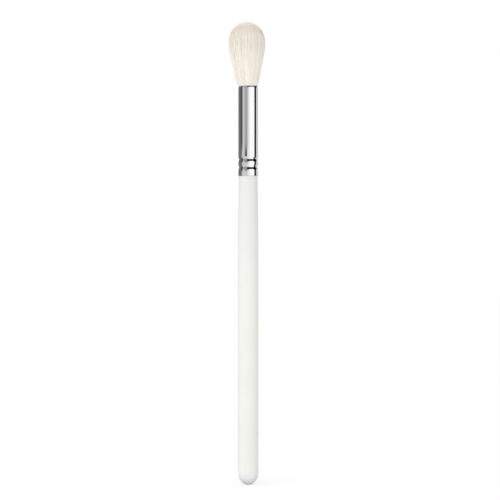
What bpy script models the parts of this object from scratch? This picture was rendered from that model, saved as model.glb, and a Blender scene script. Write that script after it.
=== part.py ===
"""Blush brush: a teardrop tuft of soft white hair in a crimped plated ferrule, on a white lacquered handle.

Metres, +Z up along the brush. The origin is the tip of the handle's domed end, so the hair points up.
The ferrule is a tube. The handle's tenon fills its lower part and the knot of the hair its upper part,
with the resin that sets the knot and the glue that holds the tenon between them.
"""

import math

import bmesh
import bpy

MM = 0.001

# Turned surfaces, and the gap that neighbouring solids keep.
ROUND_STEPS = 40
CORNER_STEPS = 3
SEAT_GAP = 0.3 * MM
MERGE_DISTANCE = 0.001 * MM

# Handle: turned wood, lacquered. Its length is what shows below the ferrule.
HANDLE_LENGTH = 119.8 * MM
HANDLE_D = 7.95 * MM
NECK_INSET = 0.12 * MM
NECK_TAPER_LENGTH = 43.0 * MM
SHOULDER_ROUND = 0.3 * MM
END_DOME_HEIGHT = 4.5 * MM
TENON_CHAMFER = 0.6 * MM
TAPER_STEPS = 6
DOME_STEPS = 9

# Ferrule: drawn tube with a rounded mouth and rings crimped into the tenon. A ring takes this share of the pitch.
FERRULE_LENGTH = 35.0 * MM
FERRULE_D = 7.64 * MM
FERRULE_WALL = 0.35 * MM
MOUTH_ROUND_HEIGHT = 0.5 * MM
RIM_CHAMFER = 0.1 * MM
CRIMP_COUNT = 2
FIRST_CRIMP_HEIGHT = 3.25 * MM
CRIMP_PITCH = 3.4 * MM
CRIMP_WIDTH_SHARE = 0.96
CRIMP_DEPTH = 0.38 * MM
CRIMP_SIDE_STEPS = 3

# Hair: its length shows above the ferrule's mouth. It swells over the rim, widens to a belly and ends in a dome,
# whose outline has a power of a half for an ellipsoid and of one for a paraboloid.
HAIR_LENGTH = 24.9 * MM
HAIR_BELLY_D = 14.7 * MM
HAIR_DOME_HEIGHT = 6.2 * MM
HAIR_DOME_POWER = 0.6
HAIR_COLLAR_SWELL = 0.33 * MM
HAIR_COLLAR_HEIGHT = 1.0 * MM
BELLY_HEIGHT_SHARE = 0.76
DOME_TIP_SHARE = 0.79
STRAND_COUNT = 300
STRAND_SIDES = 3
STRAND_FILL_SHARE = 0.76

# Knot: the resin-soaked slice of roots that the strands stand in, and the thread wound round it.
KNOT_LENGTH = 9.0 * MM
KNOT_EDGE = 0.12 * MM
STRAND_ROOT = 0.3 * MM
THREAD_D = 0.42 * MM
THREAD_GAP = 0.45 * MM
THREAD_TURNS = 3
THREAD_POINTS_PER_TURN = 24
THREAD_DEPTH = 1.5 * MM

# Resin and glue: the cup that the knot is set in, and the disc that the tenon pushes ahead of it.
RESIN_FLOOR = 1.5 * MM
RESIN_CUP_HEIGHT = 2.2 * MM
GLUE_THICKNESS = 2.5 * MM

# Radii that follow from the sizes above.
HANDLE_R = HANDLE_D / 2
FERRULE_R = FERRULE_D / 2
BORE_R = FERRULE_R - FERRULE_WALL
FILL_R = BORE_R - SEAT_GAP
NECK_R = FERRULE_R - NECK_INSET
THREAD_R = FILL_R - THREAD_D / 2
KNOT_R = THREAD_R - THREAD_D / 2 - SEAT_GAP
STRAND_BED_R = KNOT_R - KNOT_EDGE
COLLAR_R = FERRULE_R + HAIR_COLLAR_SWELL
BELLY_R = HAIR_BELLY_D / 2

# The strands run straight from the knot to the collar, so their slope there and the rim set the knot's depth.
COLLAR_SLOPE = (COLLAR_R - FILL_R) / HAIR_COLLAR_HEIGHT
KNOT_DEPTH = (FILL_R - STRAND_BED_R) / COLLAR_SLOPE
ROOT_R = STRAND_BED_R - STRAND_ROOT * COLLAR_SLOPE

# Heights that follow, from the handle's shoulder to the tips of the hair and back down inside the ferrule.
FERRULE_BOTTOM = HANDLE_LENGTH + SEAT_GAP
MOUTH = FERRULE_BOTTOM + FERRULE_LENGTH
COLLAR = MOUTH + HAIR_COLLAR_HEIGHT
CROWN = MOUTH + HAIR_LENGTH - HAIR_DOME_HEIGHT
BELLY = COLLAR + BELLY_HEIGHT_SHARE * (CROWN - COLLAR)
KNOT_TOP = MOUTH - KNOT_DEPTH
KNOT_BOTTOM = KNOT_TOP - KNOT_LENGTH
RESIN_TOP = KNOT_BOTTOM - SEAT_GAP
RESIN_BOTTOM = RESIN_TOP - RESIN_FLOOR
GLUE_TOP = RESIN_BOTTOM - SEAT_GAP
GLUE_BOTTOM = GLUE_TOP - GLUE_THICKNESS
TENON_TOP = GLUE_BOTTOM - SEAT_GAP


def clear_scene():
    for obj in list(bpy.data.objects):
        bpy.data.objects.remove(obj)


def new_collection(name):
    collection = bpy.data.collections.new(name)
    bpy.context.scene.collection.children.link(collection)
    return collection


def new_material(name, colour, roughness, metallic=0.0):
    material = bpy.data.materials.new(name)
    material.use_nodes = True
    shader = material.node_tree.nodes["Principled BSDF"]
    shader.inputs["Base Color"].default_value = (*colour, 1.0)
    shader.inputs["Roughness"].default_value = roughness
    shader.inputs["Metallic"].default_value = metallic
    return material


def arc(centre, radii, start, end, steps):
    """Points of an elliptical arc in the (radius, height) plane, its angles in degrees from the radius axis."""
    points = []
    for i in range(steps + 1):
        angle = math.radians(start + (end - start) * i / steps)
        points.append((centre[0] + radii[0] * math.cos(angle), centre[1] + radii[1] * math.sin(angle)))
    return points


def crimp_rings(wall_r):
    """The crimped rings on a wall of this radius, top to bottom, each the square of one cosine wave."""
    half_width = CRIMP_PITCH * CRIMP_WIDTH_SHARE / 2
    points = []
    for ring in reversed(range(CRIMP_COUNT)):
        middle = FERRULE_BOTTOM + FIRST_CRIMP_HEIGHT + ring * CRIMP_PITCH
        for i in range(-CRIMP_SIDE_STEPS, CRIMP_SIDE_STEPS + 1):
            share = i / CRIMP_SIDE_STEPS
            wave = (1 + math.cos(math.pi * share)) / 2
            points.append((wall_r - CRIMP_DEPTH * wave**2, middle - share * half_width))
    return points


def turned(name, outline, material, collection, closed=False):
    """A turned solid. Its outline runs down the outer side from axis to axis or, if closed, back up the bore."""
    shape = bmesh.new()
    points = [shape.verts.new((radius, 0, height)) for radius, height in outline]
    for first, second in zip(points, points[1:]):
        shape.edges.new((first, second))
    if closed:
        shape.edges.new((points[-1], points[0]))
    mesh = bpy.data.meshes.new(name)
    shape.to_mesh(mesh)
    shape.free()
    obj = bpy.data.objects.new(name, mesh)
    collection.objects.link(obj)
    screw = obj.modifiers.new("turned", "SCREW")
    screw.steps = screw.render_steps = ROUND_STEPS
    screw.use_merge_vertices = True
    screw.merge_threshold = MERGE_DISTANCE
    screw.use_smooth_shade = True
    mesh.materials.append(material)
    return obj


def handle(collection):
    """A slim rod that narrows to its neck, with a domed end and a tenon that the ferrule is crimped on."""
    lacquer = new_material("white_lacquer", colour=(0.87, 0.87, 0.84), roughness=0.35)
    outline = [(0, TENON_TOP), (FILL_R - TENON_CHAMFER, TENON_TOP), (FILL_R, TENON_TOP - TENON_CHAMFER)]
    outline += crimp_rings(FILL_R)
    outline.append((FILL_R, HANDLE_LENGTH))
    corner = (NECK_R - SHOULDER_ROUND, HANDLE_LENGTH - SHOULDER_ROUND)
    outline += arc(corner, (SHOULDER_ROUND, SHOULDER_ROUND), 90, 0, CORNER_STEPS)
    for i in range(1, TAPER_STEPS + 1):
        share = i / TAPER_STEPS
        radius = NECK_R + (HANDLE_R - NECK_R) * math.sin(math.pi / 2 * share)
        outline.append((radius, HANDLE_LENGTH - SHOULDER_ROUND - share * NECK_TAPER_LENGTH))
    outline += arc((0, END_DOME_HEIGHT), (HANDLE_R, END_DOME_HEIGHT), 0, -90, DOME_STEPS)
    return turned("handle", outline, lacquer, collection)


def ferrule(collection):
    """A thin tube whose mouth is rounded over and whose lower end is crimped."""
    plate = new_material("plated_brass", colour=(0.8, 0.8, 0.81), roughness=0.08, metallic=1.0)
    round_centre = (BORE_R, MOUTH - MOUTH_ROUND_HEIGHT)
    outline = arc(round_centre, (FERRULE_WALL, MOUTH_ROUND_HEIGHT), 90, 0, CORNER_STEPS)
    outline += crimp_rings(FERRULE_R)
    outline.append((FERRULE_R, FERRULE_BOTTOM + RIM_CHAMFER))
    outline.append((FERRULE_R - RIM_CHAMFER, FERRULE_BOTTOM))
    outline.append((BORE_R, FERRULE_BOTTOM))
    outline += reversed(crimp_rings(BORE_R))
    return turned("ferrule", outline, plate, collection, closed=True)


def strand_stations(share, angle):
    """The points of one strand, each with the strand's radius, for its share of the bundle's radius.

    At every height a strand keeps the same share of the bundle's radius, so no two cross.
    The belly is as wide from its foot to the crown, and the tip lies on the dome above that."""
    thickness = STRAND_FILL_SHARE / math.sqrt(STRAND_COUNT)
    levels = [
        (KNOT_TOP - STRAND_ROOT, ROOT_R),
        (COLLAR, COLLAR_R),
        (BELLY, BELLY_R),
        (CROWN, BELLY_R),
    ]
    stations = []
    for height, bundle_r in levels:
        centre_r = bundle_r / (1 + thickness)
        across = share * centre_r
        stations.append((across * math.cos(angle), across * math.sin(angle), height, centre_r * thickness))
    tip_share = DOME_TIP_SHARE * share
    across = tip_share * BELLY_R
    tip = CROWN + HAIR_DOME_HEIGHT * (1 - tip_share**2) ** HAIR_DOME_POWER
    stations.append((across * math.cos(angle), across * math.sin(angle), tip, 0.0))
    return stations


def strand_section(helpers):
    """The closed outline of a strand at unit radius, which each point of a strand scales."""
    data = bpy.data.curves.new("strand_section", "CURVE")
    spline = data.splines.new("POLY")
    spline.points.add(STRAND_SIDES - 1)
    for i, point in enumerate(spline.points):
        angle = 2 * math.pi * i / STRAND_SIDES
        point.co = (math.cos(angle), math.sin(angle), 0, 1)
    spline.use_cyclic_u = True
    section = bpy.data.objects.new("strand_section", data)
    helpers.objects.link(section)
    section.hide_render = True
    section.display_type = "WIRE"
    return section


def as_mesh(curve_object, name, helpers):
    """Replace a curve by its mesh, with the loose caps welded on."""
    bpy.context.view_layer.update()
    evaluated = curve_object.evaluated_get(bpy.context.evaluated_depsgraph_get())
    mesh = bpy.data.meshes.new_from_object(evaluated)
    bpy.data.objects.remove(curve_object)
    shape = bmesh.new()
    shape.from_mesh(mesh)
    bmesh.ops.remove_doubles(shape, verts=shape.verts, dist=MERGE_DISTANCE)
    bmesh.ops.recalc_face_normals(shape, faces=shape.faces)
    shape.to_mesh(mesh)
    shape.free()
    obj = bpy.data.objects.new(name, mesh)
    helpers.objects.link(obj)
    obj.hide_render = True
    obj.display_type = "WIRE"
    return obj


def strands(helpers):
    """All the strands as tapers, spread over the bundle as seeds are in a sunflower."""
    data = bpy.data.curves.new("strand_lines", "CURVE")
    data.dimensions = "3D"
    data.bevel_mode = "OBJECT"
    data.bevel_object = strand_section(helpers)
    data.use_fill_caps = True
    golden_angle = math.pi * (3 - math.sqrt(5))
    for i in range(STRAND_COUNT):
        stations = strand_stations(math.sqrt((i + 0.5) / STRAND_COUNT), i * golden_angle)
        spline = data.splines.new("POLY")
        spline.points.add(len(stations) - 1)
        for point, (x, y, z, radius) in zip(spline.points, stations):
            point.co = (x, y, z, 1)
            point.radius = radius
    lines = bpy.data.objects.new("strand_lines", data)
    helpers.objects.link(lines)
    return as_mesh(lines, "strands", helpers)


def disc(name, radius, bottom, top, material, collection):
    """A plain upright disc or plug between two heights."""
    bpy.ops.mesh.primitive_cylinder_add(
        vertices=ROUND_STEPS, radius=radius, depth=top - bottom, location=(0, 0, (top + bottom) / 2)
    )
    obj = bpy.context.object
    obj.name = obj.data.name = name
    for owner in list(obj.users_collection):
        owner.objects.unlink(obj)
    collection.objects.link(obj)
    obj.data.materials.append(material)
    return obj


def hair_tuft(collection, helpers):
    """The strands, fused to the resin-soaked slice of their roots."""
    hair = new_material("white_hair", colour=(0.83, 0.77, 0.67), roughness=0.6)
    tuft = disc("hair_tuft", KNOT_R, KNOT_BOTTOM, KNOT_TOP, hair, collection)
    union = tuft.modifiers.new("strands", "BOOLEAN")
    union.operation = "UNION"
    union.object = strands(helpers)
    return tuft


def thread_points():
    """The thread's centreline: a helix down the knot, whose ends run straight for one thread diameter."""
    start = KNOT_TOP - THREAD_DEPTH
    pitch = THREAD_D + THREAD_GAP
    helix = []
    for i in range(THREAD_TURNS * THREAD_POINTS_PER_TURN + 1):
        turn = i / THREAD_POINTS_PER_TURN
        angle = 2 * math.pi * turn
        helix.append((THREAD_R * math.cos(angle), THREAD_R * math.sin(angle), start - turn * pitch))
    first_end = (THREAD_R, -THREAD_D, helix[0][2])
    last_end = (THREAD_R, THREAD_D, helix[-1][2])
    return [first_end] + helix + [last_end]


def least_gap(points, thickness):
    """The least gap of a wound tube to itself, between points that lie half a turn or more apart."""
    apart = THREAD_POINTS_PER_TURN // 2
    least = min(math.dist(a, b) for i, a in enumerate(points) for b in points[i + apart :])
    return least - thickness


def binding_thread(collection):
    """The thread that ties the roots: one unbroken tube, wound round the knot."""
    cotton = new_material("binding_cotton", colour=(0.72, 0.68, 0.6), roughness=0.9)
    points = thread_points()
    print(f"binding thread: least gap to itself {least_gap(points, THREAD_D) / MM:.2f} mm")
    data = bpy.data.curves.new("binding_thread", "CURVE")
    data.dimensions = "3D"
    data.bevel_depth = THREAD_D / 2
    data.bevel_resolution = 1
    data.use_fill_caps = True
    spline = data.splines.new("POLY")
    spline.points.add(len(points) - 1)
    for point, place in zip(spline.points, points):
        point.co = (*place, 1)
    data.materials.append(cotton)
    thread = bpy.data.objects.new("binding_thread", data)
    collection.objects.link(thread)
    return thread


def root_resin(collection):
    """The set resin: a cup round the foot of the knot, out to the bore of the ferrule."""
    resin = new_material("amber_resin", colour=(0.55, 0.4, 0.2), roughness=0.3)
    cup_top = KNOT_BOTTOM + RESIN_CUP_HEIGHT
    cup_r = KNOT_R + SEAT_GAP
    outline = [(0, RESIN_TOP), (cup_r, RESIN_TOP), (cup_r, cup_top), (FILL_R, cup_top)]
    outline += [(FILL_R, RESIN_BOTTOM), (0, RESIN_BOTTOM)]
    return turned("root_resin", outline, resin, collection)


def tenon_glue(collection):
    """The glue that the tenon pushes ahead of it, a disc between its end and the resin."""
    glue = new_material("wood_glue", colour=(0.8, 0.74, 0.55), roughness=0.4)
    return disc("tenon_glue", FILL_R, GLUE_BOTTOM, GLUE_TOP, glue, collection)


def main():
    clear_scene()
    brush = new_collection("blush_brush")
    helpers = new_collection("helpers")
    handle(brush)
    ferrule(brush)
    hair_tuft(brush, helpers)
    binding_thread(brush)
    root_resin(brush)
    tenon_glue(brush)


main()
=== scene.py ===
"""The looks of a blush brush: white lacquered handle, plated ferrule and a teardrop tuft of soft hair.

Metres, +Z up along the brush, with the tip of the handle's domed end at the origin. The sections follow the
brush as it is put together, from the handle to the tips of the hair, and the studio comes last.
"""

import bpy
import numpy as np
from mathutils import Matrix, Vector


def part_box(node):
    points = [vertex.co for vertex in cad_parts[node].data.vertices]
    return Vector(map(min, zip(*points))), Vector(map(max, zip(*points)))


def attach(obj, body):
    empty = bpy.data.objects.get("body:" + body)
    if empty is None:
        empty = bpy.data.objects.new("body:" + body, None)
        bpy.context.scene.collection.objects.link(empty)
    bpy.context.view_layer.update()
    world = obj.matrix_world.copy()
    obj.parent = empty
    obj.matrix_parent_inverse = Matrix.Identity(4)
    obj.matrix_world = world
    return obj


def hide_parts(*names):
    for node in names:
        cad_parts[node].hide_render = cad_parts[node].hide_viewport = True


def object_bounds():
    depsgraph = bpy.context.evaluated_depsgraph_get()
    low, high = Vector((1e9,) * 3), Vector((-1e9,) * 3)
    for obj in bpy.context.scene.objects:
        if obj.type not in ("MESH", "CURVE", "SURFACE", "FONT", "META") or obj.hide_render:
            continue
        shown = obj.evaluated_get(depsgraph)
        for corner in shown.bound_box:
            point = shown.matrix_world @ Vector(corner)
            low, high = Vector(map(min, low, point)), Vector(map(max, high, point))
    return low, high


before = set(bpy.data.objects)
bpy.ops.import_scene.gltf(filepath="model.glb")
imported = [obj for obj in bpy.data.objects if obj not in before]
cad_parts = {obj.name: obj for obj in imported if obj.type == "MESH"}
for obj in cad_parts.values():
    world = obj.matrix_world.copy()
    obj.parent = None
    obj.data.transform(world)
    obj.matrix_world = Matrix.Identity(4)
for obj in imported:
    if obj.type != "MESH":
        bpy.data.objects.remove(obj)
cad_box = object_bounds()


# Handle
# A slim rod of beech, turned on a lathe, a little narrower at its neck and domed at its end. It is sealed,
# sanded and dipped in white lacquer, which dries to a satin coat. The bare tenon is glued in the ferrule.
MM = 0.001
NECK_TAPER_LENGTH = 43.0 * MM
NECK_INSET = 0.17 * MM
END_DOME_HEIGHT = 4.5 * MM
SHOULDER_ROUND = 0.08 * MM
TENON_CHAMFER = 0.6 * MM
JOINT_GAP = 0.02 * MM
STEPS_AROUND = 96
TAPER_STEPS = 24
DOME_STEPS = 20
CORNER_STEPS = 6
SHARP_ANGLE = np.radians(40)


def linear(hex_colour):
    """An sRGB hex colour as linear red, green, blue and alpha."""
    shown = np.array([int(hex_colour[i : i + 2], 16) for i in (1, 3, 5)]) / 255
    light = np.where(shown <= 0.04045, shown / 12.92, ((shown + 0.055) / 1.055) ** 2.4)
    return (*light.tolist(), 1.0)


def add_node(tree, kind, inputs=None, stops=None, **settings):
    """Adds a node with settings, sets or links its inputs by name or number, and fills its colour ramp."""
    node = tree.nodes.new(kind)
    for name, value in settings.items():
        setattr(node, name, value)
    for name, value in (inputs or {}).items():
        if isinstance(value, bpy.types.NodeSocket):
            tree.links.new(value, node.inputs[name])
        else:
            node.inputs[name].default_value = value
    for i, (place, colour) in enumerate(stops or []):
        elements = node.color_ramp.elements
        element = elements[i] if i < len(elements) else elements.new(place)
        element.position = place
        element.color = colour
    return node


def new_material(name):
    """An empty material: its node tree, its Principled shader and the outlet of its Object coordinates."""
    material = bpy.data.materials.new(name)
    material.use_nodes = True
    tree = material.node_tree
    shader = tree.nodes["Principled BSDF"]
    place = add_node(tree, "ShaderNodeTexCoord").outputs["Object"]
    return material, tree, shader, place


def new_piece(name, points, quads, triangles, material, nodes):
    """A smooth mesh from arrays of points, quads and triangles, riding on the brush's one body."""
    mesh = bpy.data.meshes.new(name)
    corners = np.concatenate([quads.ravel(), triangles.ravel()])
    starts = np.concatenate([4 * np.arange(len(quads)), quads.size + 3 * np.arange(len(triangles))])
    mesh.vertices.add(len(points))
    mesh.vertices.foreach_set("co", points.astype(np.float32).ravel())
    mesh.loops.add(len(corners))
    mesh.loops.foreach_set("vertex_index", corners.astype(np.int32))
    mesh.polygons.add(len(starts))
    mesh.polygons.foreach_set("loop_start", starts.astype(np.int32))
    mesh.update(calc_edges=True)
    mesh.shade_smooth()
    mesh.materials.append(material)
    piece = bpy.data.objects.new(name, mesh)
    bpy.context.scene.collection.objects.link(piece)
    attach(piece, "root")
    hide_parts(*nodes)
    return piece


def turned(name, radius, height, material, slot, node, lean=0.0):
    """A surface of revolution: profile point i at angle t lies at (lean + r(i) cos t, r(i) sin t, h(i)).

    The profile runs up the outer side. One that starts and ends on the axis gets a single point at each pole,
    and any other is closed by joining its last ring to its first."""
    angle = np.linspace(0, 2 * np.pi, STEPS_AROUND, endpoint=False)
    has_poles = radius[0] == 0
    rings = slice(1, -1) if has_poles else slice(None)
    x = lean + np.outer(radius[rings], np.cos(angle))
    y = np.outer(radius[rings], np.sin(angle))
    z = np.repeat(height[rings, None], len(angle), axis=1)
    points = np.stack([x, y, z], axis=-1).reshape(-1, 3)
    number = np.arange(len(points)).reshape(-1, len(angle))
    following = number if has_poles else np.vstack([number, number[:1]])
    low, high = following[:-1], following[1:]
    quads = np.stack([low, np.roll(low, -1, 1), np.roll(high, -1, 1), high], axis=-1).reshape(-1, 4)
    triangles = np.empty((0, 3), int)
    if has_poles:
        bottom, top = len(points), len(points) + 1
        points = np.vstack([points, [[lean, 0, height[0]], [lean, 0, height[-1]]]])
        first, last = number[0], number[-1]
        foot = np.stack([np.full_like(first, bottom), np.roll(first, -1), first], axis=-1)
        crown = np.stack([np.full_like(last, top), last, np.roll(last, -1)], axis=-1)
        triangles = np.vstack([foot, crown])
    piece = new_piece(name, points, quads, triangles, material, [node])
    piece.data.set_sharp_from_angle(angle=SHARP_ANGLE)
    return piece


def lacquer():
    """Nitrocellulose lacquer, dipped: satin, with a soft orange peel that only breaks the gloss.

    It is faintly warm along the rod. Towards the neck it is painted a little darker and cooler, and at the
    very end greyer: painted shade where less light falls, as it looks in the photograph.
    The slow tint keeps the rod from looking like plain plastic."""
    material, tree, shader, place = new_material("satin_white_lacquer")
    tint_size, peel_size, peel_height = 14 * MM, 0.9 * MM, 0.004 * MM
    tint = add_node(tree, "ShaderNodeTexNoise", {"Vector": place, "Scale": 1 / tint_size, "Detail": 2.0})
    thick = add_node(
        tree,
        "ShaderNodeValToRGB",
        {"Fac": tint.outputs["Fac"]},
        [(0.35, linear("#eaeae5")), (0.65, linear("#ecece7"))],
    )
    height = add_node(tree, "ShaderNodeSeparateXYZ", {"Vector": place})
    colour = thick.outputs["Color"]
    # painted shade: darker and cooler towards the neck, greyer towards the tip of the domed end
    for start, end, tone in (
        (SHOULDER - NECK_TAPER_LENGTH, SHOULDER, "#e5e5e4"),
        (END_DOME_HEIGHT, END_DOME_HEIGHT / 4, "#dfdde1"),
    ):
        painted_shade_share = add_node(
            tree,
            "ShaderNodeMapRange",
            {"Value": height.outputs["Z"], "From Min": start, "From Max": end},
        )
        colour = add_node(
            tree,
            "ShaderNodeMixRGB",
            {"Fac": painted_shade_share.outputs["Result"], "Color1": colour, "Color2": linear(tone)},
        ).outputs["Color"]
    peel = add_node(tree, "ShaderNodeTexNoise", {"Vector": place, "Scale": 1 / peel_size, "Detail": 1.0})
    dull = add_node(
        tree,
        "ShaderNodeMapRange",
        {"Value": peel.outputs["Fac"], "To Min": 0.36, "To Max": 0.46},
    )
    relief = add_node(
        tree,
        "ShaderNodeBump",
        {"Height": peel.outputs["Fac"], "Strength": 1.0, "Distance": peel_height},
    )
    tree.links.new(colour, shader.inputs["Base Color"])
    tree.links.new(dull.outputs["Result"], shader.inputs["Roughness"])
    tree.links.new(relief.outputs["Normal"], shader.inputs["Normal"])
    shader.inputs["IOR"].default_value = 1.47
    shader.inputs["Specular IOR Level"].default_value = 0.3
    return material


def arc(centre_r, centre_h, width, height, start, end, steps):
    """Radii and heights of an elliptical arc, its angles in degrees from the radius axis."""
    angle = np.radians(np.linspace(start, end, steps + 1))
    return np.stack([centre_r + width * np.cos(angle), centre_h + height * np.sin(angle)])


handle_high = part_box("handle")[1]
ferrule_low, ferrule_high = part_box("ferrule")
HANDLE_R = handle_high.x
FERRULE_R = ferrule_high.x
FERRULE_BOTTOM = ferrule_low.z
MOUTH = ferrule_high.z
TENON_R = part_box("root_resin")[1].x
NECK_R = FERRULE_R - NECK_INSET
SHOULDER = FERRULE_BOTTOM - JOINT_GAP

taper = np.linspace(1, 0, TAPER_STEPS + 1)[1:]
neck_top = SHOULDER - SHOULDER_ROUND
neck = np.stack(
    [
        NECK_R + (HANDLE_R - NECK_R) * np.sin(np.pi / 2 * taper),
        neck_top - taper * NECK_TAPER_LENGTH,
    ]
)
end_dome = arc(0, END_DOME_HEIGHT, HANDLE_R, END_DOME_HEIGHT, -90, 0, DOME_STEPS)
end_dome[0, 0] = 0
shoulder = arc(NECK_R - SHOULDER_ROUND, neck_top, SHOULDER_ROUND, SHOULDER_ROUND, 0, 90, CORNER_STEPS)
straight_top = np.array([[HANDLE_R], [neck_top - NECK_TAPER_LENGTH]])
tenon = np.array(
    [
        [TENON_R, TENON_R, TENON_R - TENON_CHAMFER, 0],
        [SHOULDER, handle_high.z - TENON_CHAMFER, handle_high.z, handle_high.z],
    ]
)
handle_profile = np.hstack([end_dome, straight_top, neck[:, :-1], shoulder, tenon])
turned("lacquered_handle", *handle_profile, lacquer(), "lacquered_wood", "handle")


# Ferrule
# A tube drawn from thin brass and nickel plated, bright as a mirror. Its mouth is rolled over so that it
# doesn't cut the hair, and two rings crimped round its lower end bite into the tenon and hold the handle.
WALL = 0.35 * MM
LIP_HEIGHT = 1.0 * MM
RIM_ROUND = 0.04 * MM
CRIMP_HEIGHTS = (3.43 * MM, 6.58 * MM)
CRIMP_HALF_WIDTH = 1.5 * MM
CRIMP_TOP_WIDTH = 0.8 * MM
CRIMP_DEPTH = 0.38 * MM
CRIMP_ROUND_SHARE = 0.07
TUBE_STEPS = 240


def crimped(height):
    """How far the two rings press the wall in at a height.

    Each ring is a valley of two parabolas, depth times (1 - share)^2, with its bottom rounded by taking the
    share of the half width as the square root of share^2 plus a small square. Above the upper ring it is
    steeper."""
    dip = np.zeros_like(height)
    for ring in CRIMP_HEIGHTS:
        offset = height - FERRULE_BOTTOM - ring
        is_top = (offset > 0) & (ring == max(CRIMP_HEIGHTS))
        share = np.hypot(offset / np.where(is_top, CRIMP_TOP_WIDTH, CRIMP_HALF_WIDTH), CRIMP_ROUND_SHARE)
        dip += CRIMP_DEPTH * np.clip(1 - share, 0, 1) ** 2
    return dip


def nickel():
    """Nickel plate on drawn brass: a clear mirror, with hairlines along the tube from the drawing die.

    Real hairlines are too fine to show here, so these are drawn coarser."""
    material, tree, shader, place = new_material("bright_nickel_plate")
    line_width, line_length, line_height = 0.25 * MM, 30 * MM, 0.0005 * MM
    along = add_node(
        tree,
        "ShaderNodeMapping",
        {"Vector": place, "Scale": (1 / line_width, 1 / line_width, 1 / line_length)},
    )
    lines = add_node(
        tree,
        "ShaderNodeTexNoise",
        {"Vector": along.outputs["Vector"], "Scale": 1.0, "Detail": 3.0},
    )
    polish = add_node(
        tree,
        "ShaderNodeMapRange",
        {"Value": lines.outputs["Fac"], "To Min": 0.02, "To Max": 0.05},
    )
    tone = add_node(
        tree,
        "ShaderNodeValToRGB",
        {"Fac": lines.outputs["Fac"]},
        [(0.3, linear("#f7f7f8")), (0.7, linear("#fdfdfd"))],
    )
    relief = add_node(
        tree,
        "ShaderNodeBump",
        {"Height": lines.outputs["Fac"], "Strength": 1.0, "Distance": line_height},
    )
    tree.links.new(tone.outputs["Color"], shader.inputs["Base Color"])
    tree.links.new(polish.outputs["Result"], shader.inputs["Roughness"])
    tree.links.new(relief.outputs["Normal"], shader.inputs["Normal"])
    shader.inputs["Metallic"].default_value = 1.0
    return material


bore_r = FERRULE_R - WALL
rim = arc(FERRULE_R - RIM_ROUND, FERRULE_BOTTOM + RIM_ROUND, RIM_ROUND, RIM_ROUND, -90, 0, CORNER_STEPS)
wall_heights = np.linspace(FERRULE_BOTTOM + RIM_ROUND, MOUTH - LIP_HEIGHT, TUBE_STEPS + 1)[1:-1]
outside = np.stack([FERRULE_R - crimped(wall_heights), wall_heights])
lip = arc(bore_r, MOUTH - LIP_HEIGHT, WALL, LIP_HEIGHT, 0, 90, 2 * CORNER_STEPS)
bore_heights = np.linspace(MOUTH - LIP_HEIGHT, FERRULE_BOTTOM, TUBE_STEPS // 2)
inside = np.stack([bore_r - crimped(bore_heights), bore_heights])
ferrule_profile = np.hstack([rim, outside, lip, inside])
turned("plated_ferrule", *ferrule_profile, nickel(), "plated_metal", "ferrule")


# Glue, resin and thread
# Inside the ferrule: wood glue that the tenon pushed ahead of it, the amber epoxy that the roots of the hair
# were dipped in, and the cotton thread that tied them. All three stay as the model has them.
def glue():
    """Aliphatic wood glue, set: cream, waxy and a little cloudy."""
    material, tree, shader, place = new_material("set_wood_glue")
    cloud_size = 0.8 * MM
    cloud = add_node(tree, "ShaderNodeTexNoise", {"Vector": place, "Scale": 1 / cloud_size, "Detail": 3.0})
    colour = add_node(
        tree,
        "ShaderNodeValToRGB",
        {"Fac": cloud.outputs["Fac"]},
        [(0.35, linear("#e0d2a4")), (0.65, linear("#ece2bf"))],
    )
    tree.links.new(colour.outputs["Color"], shader.inputs["Base Color"])
    shader.inputs["Roughness"].default_value = 0.4
    return material


def resin():
    """Epoxy, poured and set: deep amber, glossy, with a scatter of tiny bubbles."""
    material, tree, shader, place = new_material("amber_epoxy")
    bubble_pitch = 0.35 * MM
    bubbles = add_node(tree, "ShaderNodeTexVoronoi", {"Vector": place, "Scale": 1 / bubble_pitch})
    colour = add_node(
        tree,
        "ShaderNodeValToRGB",
        {"Fac": bubbles.outputs["Distance"]},
        [(0.12, linear("#dcc08a")), (0.25, linear("#b8823c"))],
    )
    tree.links.new(colour.outputs["Color"], shader.inputs["Base Color"])
    shader.inputs["Roughness"].default_value = 0.12
    shader.inputs["IOR"].default_value = 1.55
    return material


def cotton():
    """Waxed cotton thread: matt, unbleached, with the slant of its twisted strands."""
    material, tree, shader, place = new_material("binding_cotton")
    twist_pitch = 0.3 * MM
    # a wave texture at scale 1 has a band every 1/20 of a unit
    bands_per_unit = 20
    slanted = add_node(tree, "ShaderNodeMapping", {"Vector": place, "Rotation": (0.5, 0.5, 0.3)})
    twist = add_node(
        tree,
        "ShaderNodeTexWave",
        {"Vector": slanted.outputs["Vector"], "Scale": 1 / (bands_per_unit * twist_pitch), "Distortion": 0.8},
    )
    colour = add_node(
        tree,
        "ShaderNodeValToRGB",
        {"Fac": twist.outputs["Fac"]},
        [(0.2, linear("#c9bfa6")), (0.8, linear("#e6dfcc"))],
    )
    tree.links.new(colour.outputs["Color"], shader.inputs["Base Color"])
    shader.inputs["Roughness"].default_value = 0.9
    return material


for node, material in (("tenon_glue", glue()), ("root_resin", resin()), ("binding_thread", cotton())):
    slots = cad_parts[node].data.materials
    slots.clear()
    slots.append(material)


# Hair
# A tuft of bleached goat hair, laid by hand in a cup so that the natural tips make the dome. Its roots are
# tied, soaked in resin and set in the ferrule. The outer hairs swell over the mouth and curve in at the top.
KNOT_TOP_DEPTH = 0.86 * MM
KNOT_R = 2.45 * MM
KNOT_EDGE = 0.12 * MM
TUFT_MOUTH_R = 3.93 * MM
TUFT_BELLY_R = 7.12 * MM
BELLY_HEIGHT = 16.6 * MM
DOME_HEIGHT = 8.4 * MM
FLARE_TOP = 0.45 * MM
WIDENING_POWER = 6
TIP_CURL_SHARE = 0.8
MOUTH_LEAN = -0.25 * MM
BELLY_LEAN = -0.55 * MM
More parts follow.
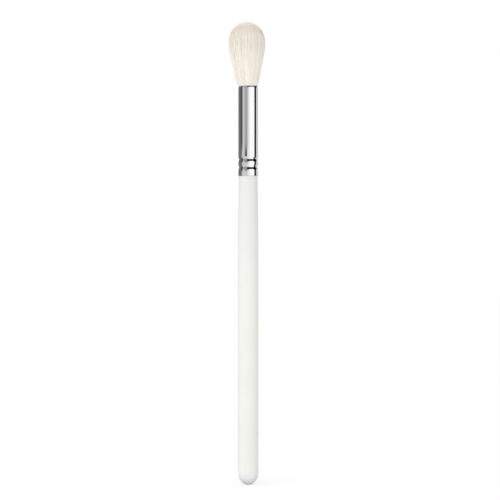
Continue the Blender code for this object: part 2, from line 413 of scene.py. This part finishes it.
# coarser than real hair, which is too fine to show here, so each strand stands for several hairs
STRAND_D = 0.155 * MM
# painted highlight: how high above the mouth the hair is painted palest
FOOT_HIGHLIGHT_HEIGHT = 0.35 * MM
# painted shade along the hair: share of the way from the mouth to the tips, and how much of a darker copy of
# the hair's colour is mixed in there
PAINTED_SHADE_SHARES = (
    (0.35, 0.0),
    (0.55, 0.27),
    (0.69, 0.5),
    (0.82, 1.0),
    (0.86, 0.95),
    (0.935, 0.28),
    (1.0, 0.0),
)
STRAND_ROOT_SHARE = 0.6
STRAND_SIDES = 4
LOWER_LEVELS = np.array([-1.16, -0.6, -0.15, 0.15, 0.45, 4.5, 8.5, 12.3, 16.0]) * MM
UPPER_LEVEL_SHARES = np.array([0.25, 0.5, 0.72, 0.9, 1.0])
TIP_TAPER_SHARES = np.array([1.0, 1.0, 0.95, 0.75, 0.0])
LOWER_SLIDES = np.array([0, 0, 0, 0, 0, 1.4, 1.6, 1.6, 0.9]) * MM
UPPER_SLIDE_SHARES = np.array([0.06, 0.08, 0.05, 0, 0])
LOOSE_SHARES = np.array([0, 0, 0, 0, 0.2, 1, 1, 0.9, 0.7, 0.6, 0.5, 0.4, 0.3, 0.3])


def bundle(height):
    """The tuft's half width and lean at heights above the mouth: the knot's, then a swell over the lip.

    From there it widens almost as a cone and flattens at the belly: with s the share of the way and p the
    power, ((p + 1) s - s^(p + 1)) / p."""
    way = np.clip(height / BELLY_HEIGHT, 0, 1)
    power = WIDENING_POWER
    widening = ((power + 1) * way - way ** (power + 1)) / power
    outline = TUFT_MOUTH_R + (TUFT_BELLY_R - TUFT_MOUTH_R) * widening
    swell = np.clip((height + KNOT_TOP_DEPTH) / (FLARE_TOP + KNOT_TOP_DEPTH), 0, 1)
    swell = swell * swell * (3 - 2 * swell)
    lean = MOUTH_LEAN * swell + (BELLY_LEAN - MOUTH_LEAN) * (1 - (1 - way) ** 2)
    return KNOT_R + (outline - KNOT_R) * swell, lean


def strand_lines(share, angle, scatter, sway, slide, weave):
    """The centre lines of strands, as an array of (strand, level, x y z).

    A strand keeps its share of the tuft's radius up to the belly, so strands fan out alike, though so many
    of them overlap. Above the belly it curves in by a parabola to its tip on the dome, an ellipsoid, give or
    take its own scatter. It sways off its line by the square of its height, weaves a little at each level,
    and leans with the whole tuft."""
    tip_share = TIP_CURL_SHARE * share
    dome = DOME_HEIGHT * np.sqrt(1 - tip_share**2) + scatter
    lower_slide, upper_slide = np.split(slide, [len(LOWER_LEVELS)], axis=1)
    lower = LOWER_LEVELS + lower_slide * LOWER_SLIDES
    upper_share = UPPER_LEVEL_SHARES + upper_slide * UPPER_SLIDE_SHARES
    height = np.hstack([lower, BELLY_HEIGHT + dome[:, None] * upper_share])
    curl = np.hstack([np.ones_like(lower), 1 - (1 - TIP_CURL_SHARE) * upper_share**2])
    width, lean = bundle(height)
    radius = share[:, None] * width * curl
    way = np.clip(height / BELLY_HEIGHT, 0, None)
    offset = sway[:, None, :] * way[..., None] ** 2 + weave * LOOSE_SHARES[:, None]
    x = radius * np.cos(angle)[:, None] + lean + offset[..., 0]
    y = radius * np.sin(angle)[:, None] + offset[..., 1]
    return np.stack([x, y, MOUTH + height], axis=-1)


def strands(name, line, angle, tone, material):
    """Tapered square tubes round the strands' lines, one flat side outwards, closed at root and tip.

    Each strand's tone is kept as an attribute."""
    count, levels = line.shape[:2]
    turn = (np.arange(STRAND_SIDES) + 0.5) * 2 * np.pi / STRAND_SIDES
    turn = turn[None, None, :] + angle[:, None, None]
    grow = np.interp(LOWER_LEVELS, [0, BELLY_HEIGHT / 2], [STRAND_ROOT_SHARE, 1.0])
    thickness = STRAND_D / 2 * np.concatenate([grow, TIP_TAPER_SHARES])
    rings = line[:, :-1, None, :].repeat(STRAND_SIDES, axis=2)
    rings[..., 0] += thickness[None, :-1, None] * np.cos(turn)
    rings[..., 1] += thickness[None, :-1, None] * np.sin(turn)
    per_strand = (levels - 1) * STRAND_SIDES + 1
    points = np.concatenate([rings.reshape(count, -1, 3), line[:, -1:]], axis=1)
    number = np.arange((levels - 1) * STRAND_SIDES).reshape(levels - 1, STRAND_SIDES)
    low, high = number[:-1], number[1:]
    sides = np.stack([low, np.roll(low, -1, 1), np.roll(high, -1, 1), high], axis=-1).reshape(-1, 4)
    last = number[-1]
    tips = np.stack([last, np.roll(last, -1), np.full_like(last, per_strand - 1)], axis=-1)
    root = number[0][::-1][None, :]
    first_number = np.arange(count)[:, None, None] * per_strand
    quads = (np.vstack([sides, root])[None] + first_number).reshape(-1, 4)
    triangles = (tips[None] + first_number).reshape(-1, 3)
    piece = new_piece(name, points.reshape(-1, 3), quads, triangles, material, ["hair_tuft"])
    piece.data.shade_flat()
    attribute = piece.data.attributes.new("tone", "FLOAT", "POINT")
    attribute.data.foreach_set("value", np.repeat(tone, per_strand).astype(np.float32))
    return piece


def goat_hair():
    """Bleached goat hair: fine, soft and warm white, in locks of slightly different tone.

    It is painted palest just above the ferrule, a painted highlight. It is greyer towards the dome, painted
    shade that is greyest a little below the natural tips and lighter again at them."""
    material, tree, shader, place = new_material("bleached_goat_hair")
    streak_width, streak_length = 0.4 * MM, 2.2 * MM
    tone = add_node(tree, "ShaderNodeAttribute", attribute_name="tone").outputs["Fac"]
    along = add_node(
        tree,
        "ShaderNodeMapping",
        {"Vector": place, "Scale": (1 / streak_width, 1 / streak_width, 1 / streak_length)},
    )
    streaks = add_node(
        tree,
        "ShaderNodeTexNoise",
        {"Vector": along.outputs["Vector"], "Scale": 1.0, "Detail": 3.0},
    )
    mixed = add_node(tree, "ShaderNodeMath", {0: tone, 1: streaks.outputs["Fac"]}, operation="ADD")
    halved = add_node(tree, "ShaderNodeMath", {0: mixed.outputs["Value"], 1: 0.5}, operation="MULTIPLY")
    low_colour = add_node(
        tree,
        "ShaderNodeValToRGB",
        {"Fac": halved.outputs["Value"]},
        [(0.28, linear("#f4ede1")), (0.62, linear("#fcf7ee"))],
    )
    # a darker copy of the hair's colour, for the painted shade towards the dome
    shaded_colour = add_node(
        tree,
        "ShaderNodeValToRGB",
        {"Fac": halved.outputs["Value"]},
        [(0.28, linear("#e1dace")), (0.68, linear("#ede7dc"))],
    )
    height = add_node(tree, "ShaderNodeSeparateXYZ", {"Vector": place})
    rise = add_node(
        tree,
        "ShaderNodeMapRange",
        {
            "Value": height.outputs["Z"],
            "From Min": MOUTH,
            "From Max": MOUTH + BELLY_HEIGHT + DOME_HEIGHT,
        },
    )
    painted_shade = add_node(
        tree,
        "ShaderNodeValToRGB",
        {"Fac": rise.outputs["Result"]},
        [(way, (level, level, level, 1.0)) for way, level in PAINTED_SHADE_SHARES],
    )
    colour_with_shade = add_node(
        tree,
        "ShaderNodeMixRGB",
        {
            "Fac": painted_shade.outputs["Color"],
            "Color1": low_colour.outputs["Color"],
            "Color2": shaded_colour.outputs["Color"],
        },
    )
    # painted highlight: near white just above the ferrule's mouth, fading out above
    foot = add_node(
        tree,
        "ShaderNodeMapRange",
        {
            "Value": height.outputs["Z"],
            "From Min": MOUTH + FOOT_HIGHLIGHT_HEIGHT,
            "From Max": MOUTH + 2 * FOOT_HIGHLIGHT_HEIGHT,
        },
    )
    colour = add_node(
        tree,
        "ShaderNodeMixRGB",
        {
            "Fac": foot.outputs["Result"],
            "Color1": linear("#fffefb"),
            "Color2": colour_with_shade.outputs["Color"],
        },
    )
    tree.links.new(colour.outputs["Color"], shader.inputs["Base Color"])
    shader.inputs["Roughness"].default_value = 0.6
    shader.inputs["IOR"].default_value = 1.55
    shader.inputs["Specular IOR Level"].default_value = 0.25
    return material


tuft_random = np.random.default_rng(2)
LOCK_COUNT = 420
LOCK_PULL_SHARE = 0.12
LOCK_TONE_SHARE = 0.3
TIP_SCATTER = 0.14 * MM
SWAY = 0.045 * MM
WEAVE = 0.045 * MM
STRAND_LAYERS = (
    ("hair_heart", 0.0, 0.6, 1950),
    ("hair_middle", 0.6, 0.82, 1950),
    ("hair_outer", 0.82, 1.0, 1950),
    ("hair_skin", 0.9, 1.0, 1950),
)

lock_r = np.sqrt(tuft_random.uniform(0, 1, LOCK_COUNT))
lock_angle = tuft_random.uniform(0, 2 * np.pi, LOCK_COUNT)
lock_place = np.stack([lock_r * np.cos(lock_angle), lock_r * np.sin(lock_angle)], axis=-1)
lock_tone = tuft_random.uniform(0, 1, LOCK_COUNT)
hair_material = goat_hair()

for layer, inner, outer, count in STRAND_LAYERS:
    share = np.sqrt(tuft_random.uniform(inner**2, outer**2, count))
    angle = tuft_random.uniform(0, 2 * np.pi, count)
    place = np.stack([share * np.cos(angle), share * np.sin(angle)], axis=-1)
    distance = np.linalg.norm(place[:, None] - lock_place[None], axis=-1)
    lock = distance.argmin(axis=1)
    pull = (lock_place[lock] - place) * LOCK_PULL_SHARE * TUFT_BELLY_R
    sway = pull + tuft_random.normal(0, SWAY, (count, 2)) * share[:, None]
    scatter = tuft_random.normal(0, TIP_SCATTER, count)
    slide = tuft_random.uniform(-1, 1, (count, len(LOOSE_SHARES)))
    weave = tuft_random.normal(0, WEAVE, (count, len(LOOSE_SHARES), 2))
    tone = LOCK_TONE_SHARE * lock_tone[lock] + (1 - LOCK_TONE_SHARE) * tuft_random.uniform(0, 1, count)
    line = strand_lines(share, angle, scatter, sway, slide, weave)
    strands(layer, line, angle, tone, hair_material)

knot_top = MOUTH - KNOT_TOP_DEPTH
knot_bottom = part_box("hair_tuft")[0].z
knot_profile = np.array(
    [
        [0, KNOT_R - KNOT_EDGE, KNOT_R, KNOT_R, KNOT_R - KNOT_EDGE, 0],
        [knot_bottom, knot_bottom, knot_bottom + KNOT_EDGE, knot_top - KNOT_EDGE, knot_top, knot_top],
    ]
)
turned("hair_knot", *knot_profile, hair_material, "hair", "hair_tuft")

# the shorter hairs, packed close just under the long ones' tips, as one closed dome that leans with the tuft
UNDER_SHARE = 0.92
UNDER_DEPTH = 0.55 * MM
UNDER_STEPS = 24

side_way = np.linspace(0, 1, UNDER_STEPS, endpoint=False)
side_share = UNDER_SHARE * (1 - (1 - TIP_CURL_SHARE) * side_way**2)
crown_share = np.linspace(UNDER_SHARE, 0, UNDER_STEPS) * TIP_CURL_SHARE
crown_rise = DOME_HEIGHT * np.sqrt(1 - crown_share**2) - UNDER_DEPTH
under_profile = np.array(
    [
        TUFT_BELLY_R * np.array([0, *side_share, *crown_share]),
        MOUTH + BELLY_HEIGHT + np.array([0, *(side_way * crown_rise[0]), *crown_rise]),
    ]
)
turned("short_hair", *under_profile, hair_material, "hair", "hair_tuft", BELLY_LEAN)


# Floor
# The brush stands by itself on a plain white table top that runs back out of sight. It throws a faint shadow.
FLOOR_SIZE = 6.0
FLOOR_COLOUR = "#eaeaea"
FLOOR_SEEN_COLOUR = "#a6a6a6"
FLOOR_GLOW = 0.615


def floor_material():
    """Matt white laminate. The camera sees a greyer one with a glow of its own, which together make the
    background's white, so the brush's shadow on it stays but is faint."""
    material, tree, shader, place = new_material("white_table_top")
    path = add_node(tree, "ShaderNodeLightPath")
    seen = add_node(
        tree,
        "ShaderNodeMath",
        {0: path.outputs["Is Camera Ray"], 1: path.outputs["Is Glossy Ray"]},
        operation="MAXIMUM",
    )
    colour = add_node(
        tree,
        "ShaderNodeMixRGB",
        {"Fac": seen.outputs["Value"], "Color1": linear(FLOOR_COLOUR), "Color2": linear(FLOOR_SEEN_COLOUR)},
    )
    tree.links.new(colour.outputs["Color"], shader.inputs["Base Color"])
    shader.inputs["Roughness"].default_value = 0.9
    shader.inputs["Specular IOR Level"].default_value = 0.0
    glow = add_node(tree, "ShaderNodeMath", {0: seen.outputs["Value"], 1: FLOOR_GLOW}, operation="MULTIPLY")
    shader.inputs["Emission Color"].default_value = linear("#ffffff")
    tree.links.new(glow.outputs["Value"], shader.inputs["Emission Strength"])
    return material


floor_mesh = bpy.data.meshes.new("floor")
half = FLOOR_SIZE / 2
corners = [(-half, -half, 0), (half, -half, 0), (half, half, 0), (-half, half, 0)]
floor_mesh.from_pydata(corners, [], [(0, 1, 2, 3)])
floor_mesh.materials.append(floor_material())
floor = bpy.data.objects.new("floor", floor_mesh)
bpy.context.scene.collection.objects.link(floor)
# the plate mirrors the studio's own table, set under Light, and not this floor
floor.visible_glossy = False


# Light
# A white tent lights the brush softly. What the plate mirrors is set apart from it: a guessed set of boards,
# each in one plain tone, placed to look like what the photographed ferrule mirrors. The compass is in degrees,
# 0 behind the camera and 90 to its right, and heights are the sine of the angle up.
SOFTBOX = "#ffffff"
TENT = "#e0e0e0"
SCREEN = "#d0d0d0"
BOARD_LIT = "#cccccc"
BOARD_DIM = "#999999"
ROOM = "#707070"
SHADE = "#484848"
BLACK = "#0c0c0c"

# to the right: the softbox's edge, a black flag, and a pale screen that runs round behind
RIGHT_SIDE = (
    (75, SOFTBOX),
    (80, BLACK),
    (105, BLACK),
    (110, SCREEN),
    (150, SCREEN),
    (180, ROOM),
)
# the table, paler in front of the board and the softbox
TABLE_COMPASS = (
    (-180, ROOM),
    (-85, ROOM),
    (-75, BOARD_LIT),
    (-20, BOARD_LIT),
    (30, SOFTBOX),
    *RIGHT_SIDE,
)
# a low dark stand between the board and the softbox
STAND_COMPASS = (
    (-180, ROOM),
    (-85, ROOM),
    (-75, BOARD_LIT),
    (-42, BOARD_LIT),
    (-40, BLACK),
    (-15, BLACK),
    (-12, TENT),
    (30, SOFTBOX),
    *RIGHT_SIDE,
)
# the room's wall, a dark gap, the grey board that dims towards the softbox, and the softbox's feathered edge
WALL_COMPASS = (
    (-180, ROOM),
    (-110, ROOM),
    (-90, SHADE),
    (-80, SHADE),
    (-60, BOARD_LIT),
    (-20, BOARD_DIM),
    (20, SOFTBOX),
    *RIGHT_SIDE,
)
# over them a gap, black above the softbox
GAP_COMPASS = (
    (-180, SHADE),
    (-80, SHADE),
    (-70, BOARD_DIM),
    (-35, BOARD_DIM),
    (0, BLACK),
    (180, BLACK),
)
# the tent's roof, open over the softbox
ROOF_COMPASS = (
    (-180, TENT),
    (-70, TENT),
    (-5, SHADE),
    (30, SHADE),
    (50, TENT),
    (180, TENT),
)
TABLE_EDGE, TABLE_FADE = 0.052, 0.0015
STAND_TOP, STAND_FADE = 0.057, 0.0065
GAP_FADE = 0.05
ROOF_HEIGHT, ROOF_FADE = 0.4, 0.08
BOX_TOP_COMPASS = (
    (-180, 0.4),
    (-60, 0.4),
    (-20, 0.22),
    (20, 0.4),
    (60, 0.4),
    (80, 0.2),
    (110, 0.2),
    (180, 0.4),
)
# the soft light by direction: brightest from the left in front, with the flag's shade at the right
SOFT_COMPASS = (
    (-180, 0.6),
    (-70, 1.0),
    (-40, 1.4),
    (10, 0.8),
    (60, 1.0),
    (100, 0.4),
    (180, 0.6),
)
SOFT_LEVEL = 1.24
SOFT_POLE_SHARE = 1.05


def around(stops, most=1.0):
    """Compass stops as ramp stops: degrees as places, and hex colours or levels as linear colours."""
    return [
        ((degrees + 180) / 360, linear(value) if isinstance(value, str) else (value / most,) * 3 + (1.0,))
        for degrees, value in stops
    ]


world = bpy.data.worlds.new("studio")
bpy.context.scene.world = world
world.use_nodes = True
tree = world.node_tree
tree.nodes.clear()
way_out = add_node(tree, "ShaderNodeTexCoord").outputs["Generated"]
parts = add_node(tree, "ShaderNodeSeparateXYZ", {"Vector": way_out})
rise = parts.outputs["Z"]
behind = add_node(tree, "ShaderNodeMath", {0: parts.outputs["Y"], 1: -1.0}, operation="MULTIPLY")
heading = add_node(
    tree,
    "ShaderNodeMath",
    {0: parts.outputs["X"], 1: behind.outputs["Value"]},
    operation="ARCTAN2",
)
compass = add_node(
    tree,
    "ShaderNodeMapRange",
    {"Value": heading.outputs["Value"], "From Min": -np.pi, "From Max": np.pi},
).outputs["Result"]
box_top = add_node(tree, "ShaderNodeValToRGB", {"Fac": compass}, around(BOX_TOP_COMPASS))
over_box = add_node(
    tree,
    "ShaderNodeMath",
    {0: rise, 1: box_top.outputs["Color"]},
    operation="SUBTRACT",
).outputs["Value"]

mirrored = linear(ROOM)
for stops, height, level, fade in (
    (TABLE_COMPASS, rise, -1.0, TABLE_FADE),
    (STAND_COMPASS, rise, TABLE_EDGE, TABLE_FADE),
    (WALL_COMPASS, rise, STAND_TOP, STAND_FADE),
    (GAP_COMPASS, over_box, 0.0, GAP_FADE),
    (ROOF_COMPASS, over_box, ROOF_HEIGHT, ROOF_FADE),
):
    band = add_node(tree, "ShaderNodeValToRGB", {"Fac": compass}, around(stops))
    share = add_node(
        tree,
        "ShaderNodeMapRange",
        {"Value": height, "From Min": level, "From Max": level + fade},
    )
    mirrored = add_node(
        tree,
        "ShaderNodeMixRGB",
        {"Fac": share.outputs["Result"], "Color1": mirrored, "Color2": band.outputs["Color"]},
    ).outputs["Color"]

most = max(level for degrees, level in SOFT_COMPASS)
round_about = add_node(tree, "ShaderNodeValToRGB", {"Fac": compass}, around(SOFT_COMPASS, most))
steep = add_node(tree, "ShaderNodeMath", {0: rise, 1: 2.0}, operation="POWER")
strength = add_node(
    tree,
    "ShaderNodeMapRange",
    {
        "Value": steep.outputs["Value"],
        "To Min": SOFT_LEVEL * most,
        "To Max": SOFT_LEVEL * most * SOFT_POLE_SHARE,
    },
)
soft = add_node(
    tree,
    "ShaderNodeMath",
    {0: round_about.outputs["Color"], 1: strength.outputs["Result"]},
    operation="MULTIPLY",
)
path = add_node(tree, "ShaderNodeLightPath")
lit = add_node(
    tree,
    "ShaderNodeMixRGB",
    {"Fac": path.outputs["Is Glossy Ray"], "Color1": soft.outputs["Value"], "Color2": mirrored},
)
seen = add_node(
    tree,
    "ShaderNodeMixRGB",
    {"Fac": path.outputs["Is Camera Ray"], "Color1": lit.outputs["Color"], "Color2": linear("#ffffff")},
)
sky = add_node(tree, "ShaderNodeBackground", {"Color": seen.outputs["Color"], "Strength": 1.0})
add_node(tree, "ShaderNodeOutputWorld", {"Surface": sky.outputs["Background"]})

KEY_PLACE = (-0.55, -0.6, 0.1)
KEY_SIZE = 0.7
KEY_WATTS = 0.3
brush_middle = (cad_box[0] + cad_box[1]) / 2
key_data = bpy.data.lights.new("key_softbox", "AREA")
key_data.size = KEY_SIZE
key_data.energy = KEY_WATTS
key = bpy.data.objects.new("key_softbox", key_data)
key.location = KEY_PLACE
key.rotation_mode = "QUATERNION"
key.rotation_quaternion = (key.location - brush_middle).to_track_quat("Z", "Y")
key.visible_glossy = False
bpy.context.scene.collection.objects.link(key)


# Camera
# Level with the middle of the handle, as for a brush laid flat and photographed from above.
CAMERA_DISTANCE = 0.65
VIEW_HEIGHT = 194.75 * MM
VIEW_CENTRE_X = 0.7 * MM
VIEW_CENTRE_Z = 91.3 * MM

camera_data = bpy.data.cameras.new("camera")
camera_data.sensor_width = 36.0
camera_data.lens = camera_data.sensor_width * CAMERA_DISTANCE / VIEW_HEIGHT
camera = bpy.data.objects.new("camera", camera_data)
camera.location = (VIEW_CENTRE_X, -CAMERA_DISTANCE, VIEW_CENTRE_Z)
camera.rotation_euler = (np.pi / 2, 0, 0)
bpy.context.scene.collection.objects.link(camera)
bpy.context.scene.camera = camera
bpy.context.scene.view_settings.view_transform = "Standard"
